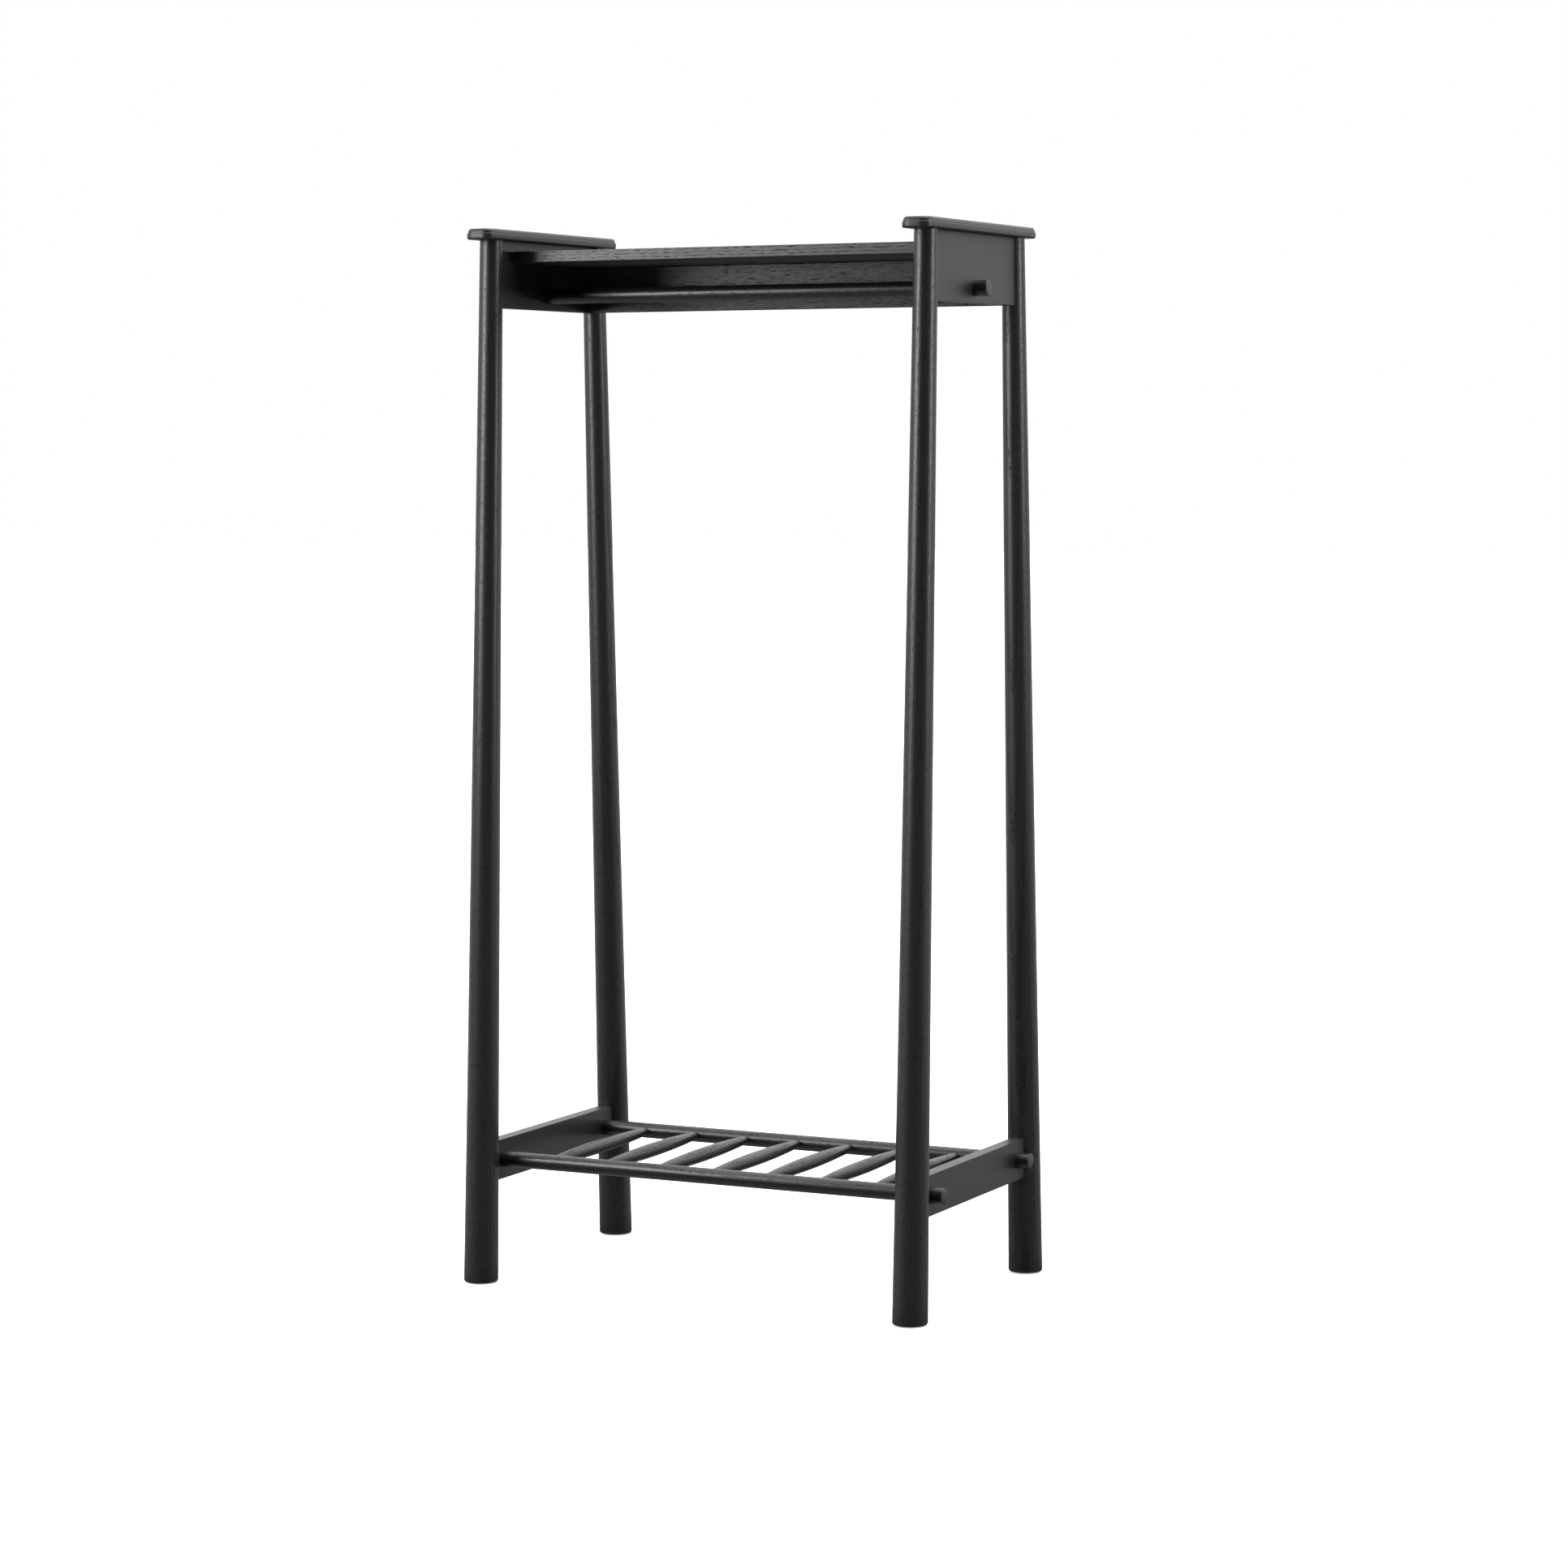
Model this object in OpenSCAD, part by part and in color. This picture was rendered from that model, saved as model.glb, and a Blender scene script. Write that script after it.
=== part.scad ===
// Free-standing open clothes stand in black-stained ash: two leaning side frames,
// a shelf with a rear apron, a hanging rod and a slatted rack near the floor.
// Front is -Y, up is +Z, the origin is on the floor under the middle of the stand.

/* [Overall] */
// Height from the floor to the top of the caps
stand_h = 1700; // [1400:10:2000]
// Width between the centre lines of the two side frames
frame_w = 765; // [560:5:1100]
// Distance from front leg centre to rear leg centre at the floor
foot_spread = 458; // [400:2:600]
// Distance from front leg centre to rear leg centre at the top of the caps
top_spread = 338; // [320:2:400]

/* [Legs] */
// Leg diameter at the floor
leg_foot_d = 56; // [50:0.5:66]
// Leg diameter where the foot begins to swell
leg_swell_d = 51.4; // [44:0.2:54]
// Height at which the foot begins to swell
leg_swell_h = 330; // [260:10:500]
// Leg diameter at the top
leg_top_d = 36.6; // [32:0.2:42]
// Rounding under the edge of each foot
foot_round = 4; // [2:0.5:6]

/* [Caps] */
// Width of a cap across its side frame
cap_w = 52; // [46:1:70]
// Thickness of a cap
cap_t = 17.2; // [15:0.2:24]
// How far a cap runs past the legs at the front and at the rear
cap_overhang = 27; // [10:1:40]
// Corner radius of a cap seen from above
cap_corner_r = 18; // [12:0.5:22]
// Height of the cap's lower band
cap_band_h = 10; // [8:0.2:11]
// Rounding under the edge of the lower band
cap_band_r = 3; // [1:0.5:3.5]
// Ledge between the lower band and the quarter round above it
cap_ledge = 1.5; // [0.5:0.1:2]

/* [Side panels] */
// Thickness of the side panels
panel_t = 18; // [16:0.5:22]
// Height of the side panels below the caps
panel_h = 108; // [96:1:150]
// Depth of the groove that holds the shelf
groove_depth = 6; // [4:0.5:7]
// How far the top of the shelf's tongue lies below the top of the shelf
tongue_shoulder = 1.5; // [1:0.25:4]

/* [Shelf and apron] */
// Thickness of the shelf
shelf_t = 18; // [14:0.5:20]
// From the underside of the caps down to the top of the shelf
shelf_drop = 15.8; // [8:0.2:24]
// From the front leg centres back to the front edge of the shelf
shelf_setback = 60; // [40:1:90]
// Thickness of the rear apron
apron_t = 18; // [16:0.5:20]
// From the rear leg centres forward to the back of the apron
apron_inset = 18; // [18:0.5:40]

/* [Hanging rod] */
// Diameter of the hanging rod
rod_d = 25; // [20:0.5:28]
// From the bottom edge of the side panels up to the rod's centre
rod_rise = 23; // [20:0.5:30]
// How far each end of the rod stands out from its side panel
rod_proud = 23; // [0:1:40]

/* [Lower rack] */
// Height of the lower rails' centre line above the floor
rail_z = 193.5; // [140:0.5:260]
// Height of the lower rails
rail_h = 65; // [60:1:90]
// Thickness of the lower rails
rail_t = 22; // [18:0.5:26]
// Diameter of the two long rods of the rack
rack_rod_d = 25.5; // [22:0.5:28]
// From the leg centres in to the centre of each long rod
rack_rod_inset = 50; // [46:1:80]
// How far each end of a long rod stands out from its rail
rack_rod_proud = 22; // [0:1:40]
// Number of slats
slat_count = 7; // [5:1:9]
// Diameter of a slat at its middle
slat_mid_d = 23; // [18:0.5:25]
// Diameter of a slat where it meets the long rods
slat_end_d = 13; // [12:0.5:18]

/* [Joinery] */
// Diameter of the tenons on the ends of the slats
tenon_d = 9; // [8:0.5:10]
// Length of those tenons inside the rods
tenon_l = 10; // [8:0.5:12]
// Diameter of the wooden dowels
dowel_d = 8; // [6:0.5:8]
// Diameter of the dowels between legs and caps
cap_dowel_d = 10; // [8:0.5:12]
// Diameter of the pins that hold the rods
pin_d = 5; // [4:0.5:6]
// Radial clearance of round fits
fit_gap = 0.1; // [0.05:0.05:0.2]
// Gap left for glue where a board is shaped to a round leg or rod
glue_gap = 0.05; // [0.05:0.05:0.2]
// Diameter of the foot glides
glide_d = 20; // [16:1:26]
// Thickness of the foot glides
glide_t = 4; // [3:0.5:6]
// How far a glide stands out from the foot
glide_proud = 1; // [0.5:0.5:2]

/* [Hidden] */
$fn = 64;
arc_steps = 8;

left = -1;
right = 1;
front = -1;
rear = 1;
sides = [left, right];
ends = [front, rear];

lean = atan((foot_spread - top_spread) / 2 / stand_h);
half_w = frame_w / 2;
cap_under = stand_h - cap_t;
panel_bottom = cap_under - panel_h;
shelf_top = cap_under - shelf_drop;
shelf_under = shelf_top - shelf_t;
rod_z = panel_bottom + rod_rise;
rail_bottom = rail_z - rail_h / 2;
inner_face = half_w - panel_t / 2;

// Half the distance between front and rear leg centres, and the leg's radius, at height z
function half_spread(z) = (foot_spread + (top_spread - foot_spread) * z / stand_h) / 2;
function leg_r(z) = z < leg_swell_h
    ? (leg_foot_d + (leg_swell_d - leg_foot_d) * z / leg_swell_h) / 2
    : (leg_swell_d + (leg_top_d - leg_swell_d) * (z - leg_swell_h) / (stand_h - leg_swell_h)) / 2;
// Where the middle of a board's end meets the leg at height z
function joint_y(z) = half_spread(z) - leg_r(z);

shelf_front_y = -(half_spread(shelf_top) - shelf_setback);
tongue_top = shelf_top - tongue_shoulder;
apron_back_y = half_spread(shelf_under) - apron_inset;
apron_mid_y = apron_back_y - apron_t / 2;
// The tongues and grooves stop short of the rear legs
tongue_stop = 12;
tongue_back_y = apron_back_y - tongue_stop;
tongue_end_gap = 0.5;
tongue_side_gap = 0.1;

cap_l = 2 * (joint_y(cap_under) + 2 * leg_r(cap_under) + cap_overhang);
cap_round_r = cap_t - cap_band_h;
cap_round_w = cap_round_r * 0.6;
rack_y = half_spread(rail_z) - rack_rod_inset;
slat_pitch = frame_w / (slat_count + 1);
slat_half_l = rack_y - rack_rod_d / 2;
slat_overlap = 5;

// Dowels: how far they go into each piece
bore_extra = 0.5;
cap_dowel_in_leg = 22;
cap_dowel_in_cap = 11;
panel_dowel_in_leg = 14;
panel_dowel_in_panel = 22;
rail_dowel_in_leg = 22;
rail_pin_wall = 2;
rail_dowel_in_rail = rack_rod_inset - leg_r(rail_z) - pin_d / 2 - rail_pin_wall;
rail_dowel_step = rack_rod_d / 2 + dowel_d / 2 + 3;
rail_dowel_z = [rail_z - rail_dowel_step, rail_z + rail_dowel_step];
apron_dowel_in_panel = 10;
apron_dowel_in_apron = 24;
apron_h = shelf_under - panel_bottom;
// The dowels of the panels and of the apron cross inside the panels, so they take turns in height
panel_dowel_z = [for (k = [1, 5]) panel_bottom + apron_h * k / 8];
apron_dowel_z = [for (k = [3, 7]) panel_bottom + apron_h * k / 8];
shelf_dowel_count = 5;
shelf_dowel_pitch = 2 * inner_face / (shelf_dowel_count + 1);
shelf_dowel_in_shelf = 10;
shelf_dowel_in_apron = 20;
pin_in_rod = 8;

dark = "#2b2a2b";
stain = "#343235";
beech = "#c9a46f";

// Round bars along the row's own axes, from one coordinate to another
module bar_x(d, x0, x1) translate([x0, 0, 0]) rotate([0, 90, 0]) cylinder(d = d, h = x1 - x0);
module bar_y(d, y0, y1) translate([0, y0, 0]) rotate([-90, 0, 0]) cylinder(d = d, h = y1 - y0);
module bar_z(d, z0, z1) translate([0, 0, z0]) cylinder(d = d, h = z1 - z0);
module box_between(low, high) translate(low) cube(high - low);

// One turned leg standing on its own axis, with its foot edge rounded; grow thickens it
module leg_turning(grow = 0) {
    foot_r = leg_foot_d / 2;
    rotate_extrude($fn = 96) polygon(concat(
        [[0, 0]],
        [for (i = [0:arc_steps]) let (a = 90 * i / arc_steps)
            [foot_r - foot_round * (1 - sin(a)) + grow, foot_round * (1 - cos(a))]],
        [[leg_swell_d / 2 + grow, leg_swell_h], [leg_top_d / 2 + grow, stand_h], [0, stand_h]]));
}

module on_leg_axis(side, end)
    translate([side * half_w, end * foot_spread / 2, 0]) rotate([end * lean, 0, 0]) children();

// What legs take away from the boards between them
module leg_cutters(side) for (end = ends) on_leg_axis(side, end) leg_turning(glue_gap);

module panel_dowel(side, end, z, gap = 0, extra = 0) {
    reach = [-panel_dowel_in_panel - extra, panel_dowel_in_leg + extra];
    y = [joint_y(z) + reach[0], joint_y(z) + reach[1]];
    translate([side * half_w, 0, z])
        bar_y(dowel_d + 2 * gap, end > 0 ? y[0] : -y[1], end > 0 ? y[1] : -y[0]);
}

module rail_dowel(side, end, z, gap = 0, extra = 0) {
    reach = [-rail_dowel_in_rail - extra, rail_dowel_in_leg + extra];
    y = [joint_y(z) + reach[0], joint_y(z) + reach[1]];
    translate([side * half_w, 0, z])
        bar_y(dowel_d + 2 * gap, end > 0 ? y[0] : -y[1], end > 0 ? y[1] : -y[0]);
}

module cap_dowel(side, end, gap = 0, extra = 0)
    translate([side * half_w, end * half_spread(cap_under), 0])
        bar_z(cap_dowel_d + 2 * gap, cap_under - cap_dowel_in_leg - extra,
              cap_under + cap_dowel_in_cap + extra);

module apron_dowel(side, z, gap = 0, extra = 0) {
    x = [inner_face - apron_dowel_in_apron - extra, inner_face + apron_dowel_in_panel + extra];
    translate([0, apron_mid_y, z])
        bar_x(dowel_d + 2 * gap, side > 0 ? x[0] : -x[1], side > 0 ? x[1] : -x[0]);
}

module shelf_dowel(i, gap = 0, extra = 0)
    translate([-inner_face + i * shelf_dowel_pitch, apron_mid_y, 0])
        bar_z(dowel_d + 2 * gap, shelf_under - shelf_dowel_in_apron - extra,
              shelf_under + shelf_dowel_in_shelf + extra);

module rod_pin(side, gap = 0, extra = 0)
    translate([side * half_w, 0, 0])
        bar_z(pin_d + 2 * gap, panel_bottom - extra, rod_z - rod_d / 2 + pin_in_rod + extra);

module rack_pin(side, end, gap = 0, extra = 0)
    translate([side * half_w, end * rack_y, 0])
        bar_z(pin_d + 2 * gap, rail_bottom - extra, rail_z - rack_rod_d / 2 + pin_in_rod + extra);

// A leg, cut level at the floor and under its cap
module leg(side, end) color(dark) difference() {
    on_leg_axis(side, end) leg_turning();
    translate([side * half_w - leg_foot_d, end * foot_spread / 2 - foot_spread, -leg_foot_d])
        cube([2 * leg_foot_d, 2 * foot_spread, leg_foot_d + glide_proud]);
    translate([side * half_w - leg_foot_d, end * foot_spread / 2 - foot_spread, cap_under])
        cube([2 * leg_foot_d, 2 * foot_spread, 2 * cap_t]);
    cap_dowel(side, end, fit_gap, bore_extra);
    for (z = panel_dowel_z) panel_dowel(side, end, z, fit_gap, bore_extra);
    for (z = rail_dowel_z) rail_dowel(side, end, z, fit_gap, bore_extra);
    translate([side * half_w, end * half_spread(0), 0]) bar_z(glide_d + 2 * fit_gap, -1, glide_t);
}

// Outline of a cap's edge: z over distance in from the edge, a rounded band,
// a narrow ledge and a quarter round that runs up to the flat top
cap_edge = concat(
    [for (i = [0:arc_steps]) let (a = 90 * i / arc_steps)
        [cap_band_r * (1 - sin(a)), cap_band_r * (1 - cos(a))]],
    [[0, cap_band_h], [cap_ledge, cap_band_h]],
    [for (i = [1:arc_steps]) let (a = 90 * i / arc_steps)
        [cap_ledge + cap_round_w * (1 - cos(a)), cap_band_h + cap_round_r * sin(a)]]);

// The moulded edge along a straight side, and round a corner
module cap_edge_shape() polygon(concat([for (p = cap_edge) [cap_corner_r - p[0], p[1]]],
                                       [[0, cap_t], [0, 0]]));
module cap_side(l) translate([0, l / 2, 0]) rotate([90, 0, 0]) linear_extrude(l) cap_edge_shape();

module cap_blank() {
    core = [cap_w / 2 - cap_corner_r, cap_l / 2 - cap_corner_r];
    box_between([-core[0], -core[1], 0], [core[0], core[1], cap_t]);
    for (a = [0, 180]) {
        rotate([0, 0, a]) translate([core[0], 0, 0]) cap_side(2 * core[1]);
        rotate([0, 0, a]) translate([0, core[1], 0]) rotate([0, 0, 90]) cap_side(2 * core[0]);
    }
    for (x = [-1, 1], y = [-1, 1])
        translate([x * core[0], y * core[1], 0]) rotate_extrude($fn = 64) cap_edge_shape();
}

module cap(side) color(dark) difference() {
    translate([side * half_w, 0, cap_under]) cap_blank();
    for (end = ends) cap_dowel(side, end, fit_gap, bore_extra);
}

// The groove runs from the front edge of the panel to just past the shelf's tongue
module shelf_groove(side) {
    x = side * inner_face;
    depth = side * groove_depth;
    box_between([min(x - depth, x + depth), -half_spread(shelf_under), shelf_under - tongue_side_gap],
                [max(x - depth, x + depth), tongue_back_y + tongue_end_gap, tongue_top + tongue_side_gap]);
}

module side_panel(side) color(stain) difference() {
    box_between([side * half_w - panel_t / 2, -half_spread(panel_bottom), panel_bottom],
                [side * half_w + panel_t / 2, half_spread(panel_bottom), cap_under]);
    leg_cutters(side);
    shelf_groove(side);
    translate([side * half_w, 0, rod_z]) bar_x(rod_d + 2 * fit_gap, -panel_t, panel_t);
    for (end = ends, z = panel_dowel_z) panel_dowel(side, end, z, fit_gap, bore_extra);
    for (z = apron_dowel_z) apron_dowel(side, z, fit_gap, bore_extra);
    rod_pin(side, fit_gap, bore_extra);
}

module shelf() color(stain) difference() {
    union() {
        box_between([-inner_face, shelf_front_y, shelf_under], [inner_face, apron_back_y, shelf_top]);
        tongue_x = inner_face + groove_depth - tongue_end_gap;
        box_between([-tongue_x, shelf_front_y, shelf_under], [tongue_x, tongue_back_y, tongue_top]);
    }
    for (i = [1:shelf_dowel_count]) shelf_dowel(i, fit_gap, bore_extra);
}

module rear_apron() color(stain) difference() {
    box_between([-inner_face, apron_back_y - apron_t, panel_bottom], [inner_face, apron_back_y, shelf_under]);
    for (side = sides, z = apron_dowel_z) apron_dowel(side, z, fit_gap, bore_extra);
    for (i = [1:shelf_dowel_count]) shelf_dowel(i, fit_gap, bore_extra);
}

module hanging_rod() color(dark) difference() {
    half_l = half_w + panel_t / 2 + rod_proud;
    translate([0, 0, rod_z]) bar_x(rod_d, -half_l, half_l);
    for (side = sides) rod_pin(side, fit_gap, bore_extra);
}

module lower_rail(side) color(stain) difference() {
    box_between([side * half_w - rail_t / 2, -half_spread(rail_z), rail_bottom],
                [side * half_w + rail_t / 2, half_spread(rail_z), rail_bottom + rail_h]);
    leg_cutters(side);
    for (end = ends) {
        translate([side * half_w, end * rack_y, rail_z]) bar_x(rack_rod_d + 2 * fit_gap, -rail_t, rail_t);
        rack_pin(side, end, fit_gap, bore_extra);
        for (z = rail_dowel_z) rail_dowel(side, end, z, fit_gap, bore_extra);
    }
}

module rack_rod(end) color(dark) difference() {
    half_l = half_w + rail_t / 2 + rack_rod_proud;
    translate([0, end * rack_y, rail_z]) bar_x(rack_rod_d, -half_l, half_l);
    for (i = [1:slat_count]) slat_place(i)
        bar_y(tenon_d + 2 * fit_gap, -slat_half_l - tenon_l - bore_extra, slat_half_l + tenon_l + bore_extra);
    for (side = sides) rack_pin(side, end, fit_gap, bore_extra);
}

module slat_place(i) translate([-half_w + i * slat_pitch, 0, rail_z]) children();

// Slat radius at distance s from its middle: thick in the middle, thin at the ends
function slat_r(s) = slat_mid_d / 2 - (slat_mid_d - slat_end_d) / 2 * pow(s / slat_half_l, 2);

module slat(i) color(dark) slat_place(i) {
    reach = slat_half_l + slat_overlap;
    steps = 2 * arc_steps;
    difference() {
        rotate([-90, 0, 0]) rotate_extrude($fn = 48) polygon(concat(
            [[0, -reach]],
            [for (k = [-steps:steps]) let (s = reach * k / steps) [slat_r(s), s]],
            [[0, reach]]));
        for (end = ends) translate([0, end * rack_y, 0])
            bar_x(rack_rod_d + 2 * glue_gap, -slat_mid_d, slat_mid_d);
    }
    bar_y(tenon_d, -slat_half_l - tenon_l, slat_half_l + tenon_l);
}

module foot_glide(side, end) {
    edge = glide_proud / 2;
    translate([side * half_w, end * half_spread(0), 0]) rotate_extrude() polygon(
        [[0, 0], [glide_d / 2 - edge, 0], [glide_d / 2, edge], [glide_d / 2, glide_t], [0, glide_t]]);
}

module cap_dowels() color(beech) for (side = sides, end = ends) cap_dowel(side, end);
module panel_dowels() color(beech) for (side = sides, end = ends, z = panel_dowel_z) panel_dowel(side, end, z);
module rail_dowels() color(beech) for (side = sides, end = ends, z = rail_dowel_z) rail_dowel(side, end, z);
module apron_dowels() color(beech) for (side = sides, z = apron_dowel_z) apron_dowel(side, z);
module shelf_dowels() color(beech) for (i = [1:shelf_dowel_count]) shelf_dowel(i);
module rod_pins() color(dark) for (side = sides) rod_pin(side);
module rack_pins() color(dark) for (side = sides, end = ends) rack_pin(side, end);
module foot_glides() color("#202020") for (side = sides, end = ends) foot_glide(side, end);

leg(left, front);  // leg_front_left
leg(right, front);  // leg_front_right
leg(left, rear);  // leg_rear_left
leg(right, rear);  // leg_rear_right
cap(left);  // cap_left
cap(right);  // cap_right
side_panel(left);  // side_panel_left
side_panel(right);  // side_panel_right
shelf();
rear_apron();
hanging_rod();
lower_rail(left);  // lower_rail_left
lower_rail(right);  // lower_rail_right
rack_rod(front);  // rack_rod_front
rack_rod(rear);  // rack_rod_rear
slat(1);  // slat_1
slat(2);  // slat_2
slat(3);  // slat_3
slat(4);  // slat_4
slat(5);  // slat_5
slat(6);  // slat_6
slat(7);  // slat_7
cap_dowels();
panel_dowels();
rail_dowels();
apron_dowels();
shelf_dowels();
rod_pins();
rack_pins();
foot_glides();
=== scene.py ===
import math
import random

import bmesh
import bpy
from mathutils import Matrix, Vector


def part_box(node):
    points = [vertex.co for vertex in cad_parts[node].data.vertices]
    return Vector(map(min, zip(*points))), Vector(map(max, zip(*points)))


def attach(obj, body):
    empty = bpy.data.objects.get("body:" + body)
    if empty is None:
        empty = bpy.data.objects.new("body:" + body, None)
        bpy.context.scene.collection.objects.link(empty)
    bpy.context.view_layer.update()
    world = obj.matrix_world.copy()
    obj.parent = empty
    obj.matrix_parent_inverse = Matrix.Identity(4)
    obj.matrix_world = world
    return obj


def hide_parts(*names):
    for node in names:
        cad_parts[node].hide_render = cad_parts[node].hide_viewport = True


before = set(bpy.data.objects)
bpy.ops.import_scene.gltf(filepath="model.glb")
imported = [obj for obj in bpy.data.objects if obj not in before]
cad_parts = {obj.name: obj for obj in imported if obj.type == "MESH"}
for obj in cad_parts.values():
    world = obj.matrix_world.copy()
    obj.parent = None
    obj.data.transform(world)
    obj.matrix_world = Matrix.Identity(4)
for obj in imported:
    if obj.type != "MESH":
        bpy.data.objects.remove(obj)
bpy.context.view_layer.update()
scene = bpy.context.scene
mm = 0.001
print("frame:", len(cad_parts), "nodes")


# ---- places and sizes, all read from the frame ----

def ringNear(node, z, reach=2.5 * mm):
    # centre and radius of a round node's ring of points near one height
    points = [v.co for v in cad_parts[node].data.vertices if abs(v.co.z - z) < reach]
    xs, ys = [p.x for p in points], [p.y for p in points]
    centre = Vector(((min(xs) + max(xs)) / 2, (min(ys) + max(ys)) / 2, z))
    return centre, (max(xs) - min(xs)) / 2


legSettings = {
    "swellHeight": 0.330,   # where the foot starts to widen
    "footRound": 4 * mm,
    "footRings": 8,         # rings round the foot's edge
    "rings": 60,
    "sides": 72,
    "blend": 0.4 * mm,      # softens the change of taper
}

legNames = ["leg_front_left", "leg_front_right", "leg_rear_left", "leg_rear_right"]
legLow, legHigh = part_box("leg_rear_right")
legTop, legTopRadius = ringNear("leg_rear_right", legHigh.z, 0.5 * mm)
legSwell, legSwellRadius = ringNear("leg_rear_right", legSettings["swellHeight"])
legFootRadius = (legHigh.x - legLow.x) / 2 - 0.06 * mm
legSlope = (legTop.y - legSwell.y) / (legTop.z - legSwell.z)
halfWidth = legTop.x


def legY(z):  # rear legs' centre at a height; the front ones mirror it
    return legTop.y + legSlope * (z - legTop.z)


def legRadius(z):
    top, swell, height = legTopRadius, legSwellRadius, legSettings["swellHeight"]
    upper = swell + (top - swell) * (z - height) / (legTop.z - height)
    lower = legFootRadius + (swell - legFootRadius) * z / height
    return max(upper, lower)


# ---- small helpers ----

def linear(hexColour):
    channels = [int(hexColour[i:i + 2], 16) / 255 for i in (1, 3, 5)]
    return [c / 12.92 if c <= 0.04045 else ((c + 0.055) / 1.055) ** 2.4 for c in channels] + [1.0]


def addNode(tree, kind, settings=None, links=None):
    # settings go to the node's own options or its inputs, links join inputs to other nodes' outputs
    node = tree.nodes.new(kind)
    for key, value in (settings or {}).items():
        if isinstance(key, int) or key in node.inputs:
            node.inputs[key].default_value = value
        else:
            setattr(node, key, value)
    for key, socket in (links or {}).items():
        tree.links.new(socket, node.inputs[key])
    return node


def flatFaces(mesh):
    # leaves the broad faces beside the soft edges flat
    body = bpy.data.objects.new("work", mesh)
    scene.collection.objects.link(body)
    weighted = body.modifiers.new("weighted", "WEIGHTED_NORMAL")
    weighted.mode = "FACE_AREA"
    weighted.weight = 100
    weighted.keep_sharp = True
    result = bpy.data.meshes.new_from_object(body.evaluated_get(bpy.context.evaluated_depsgraph_get()))
    bpy.data.objects.remove(body)
    return result


def addPiece(name, mesh, material, nodes):
    mesh.shade_smooth()
    mesh.set_sharp_from_angle(angle=math.radians(32))
    if name.startswith("board."):
        mesh = flatFaces(mesh)
    piece = bpy.data.objects.new(name, mesh)
    scene.collection.objects.link(piece)
    mesh.materials.clear()
    mesh.materials.append(material)
    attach(piece, "root")
    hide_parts(*nodes)
    return piece


def meshFromLoops(name, loops):
    # closed loops of equal length, skinned in order, with both ends closed
    count = len(loops[0])
    verts = [p for loop in loops for p in loop]
    faces = [list(range(count))[::-1], [(len(loops) - 1) * count + i for i in range(count)]]
    for row in range(len(loops) - 1):
        for i in range(count):
            j = (i + 1) % count
            faces.append([row * count + i, row * count + j, (row + 1) * count + j, (row + 1) * count + i])
    mesh = bpy.data.meshes.new(name)
    mesh.from_pydata(verts, [], faces)
    faceOut(mesh)
    return mesh


def faceOut(mesh):
    bm = bmesh.new()
    bm.from_mesh(mesh)
    bmesh.ops.remove_doubles(bm, verts=bm.verts, dist=1e-6)
    bmesh.ops.recalc_face_normals(bm, faces=bm.faces)
    bm.to_mesh(mesh)
    bm.free()


def insetCorners(corners, distance):
    # corners run anticlockwise; each edge moves inwards by the distance
    result = []
    count = len(corners)
    for i in range(count):
        before, here, after = (Vector(corners[(i + k) % count]) for k in (-1, 0, 1))
        edgeIn, edgeOut = (here - before).normalized(), (after - here).normalized()
        normalIn, normalOut = Vector((-edgeIn.y, edgeIn.x)), Vector((-edgeOut.y, edgeOut.x))
        bisector = (normalIn + normalOut).normalized()
        result.append(here + bisector * (distance / bisector.dot(normalIn)))
    return result


def roundedOutline(corners, radius, steps=4):
    # the same outline with an arc at each corner
    points = []
    count = len(corners)
    for i in range(count):
        before, here, after = (Vector(corners[(i + k) % count]) for k in (-1, 0, 1))
        toBefore, toAfter = (before - here).normalized(), (after - here).normalized()
        half = toBefore.angle(toAfter) / 2
        centre = here + (toBefore + toAfter).normalized() * (radius / math.sin(half))
        start = here + toBefore * (radius / math.tan(half)) - centre
        end = here + toAfter * (radius / math.tan(half)) - centre
        turn = start.angle_signed(end)
        for k in range(steps + 1):
            a = -turn * k / steps
            points.append(centre + Vector((start.x * math.cos(a) - start.y * math.sin(a),
                                           start.x * math.sin(a) + start.y * math.cos(a))))
    return points


def boardMesh(name, outlineAt, low, high, arris, place, inner=(), steps=3):
    # a board with softened edges: outlineAt(w) gives its corners at depth w, place(u, v, w) its points
    quarter = [math.radians(90 * k / steps) for k in range(steps + 1)]
    edge = [(arris * (1 - math.cos(a)), arris * (1 - math.sin(a))) for a in quarter]
    stations = [(low + depth, inset) for depth, inset in edge]
    stations += [(w, 0.0) for w in inner]
    stations += [(high - depth, inset) for depth, inset in reversed(edge)]
    loops = []
    for w, inset in stations:
        corners = insetCorners(outlineAt(w), inset)
        loops.append([place(p.x, p.y, w) for p in roundedOutline(corners, arris * 1.05 - inset)])
    return meshFromLoops(name, loops)


def rectangle(u0, v0, u1, v1):
    return [(u0, v0), (u1, v0), (u1, v1), (u0, v1)]


def turnedMesh(name, profile, sides, place):
    # profile is (radius, distance along the axis); place(x, y, along) puts it in the frame
    loops = []
    for radius, along in profile:
        turn = [2 * math.pi * k / sides for k in range(sides)]
        loops.append([place(radius * math.cos(a), radius * math.sin(a), along) for a in turn])
    return meshFromLoops(name, loops)


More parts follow.
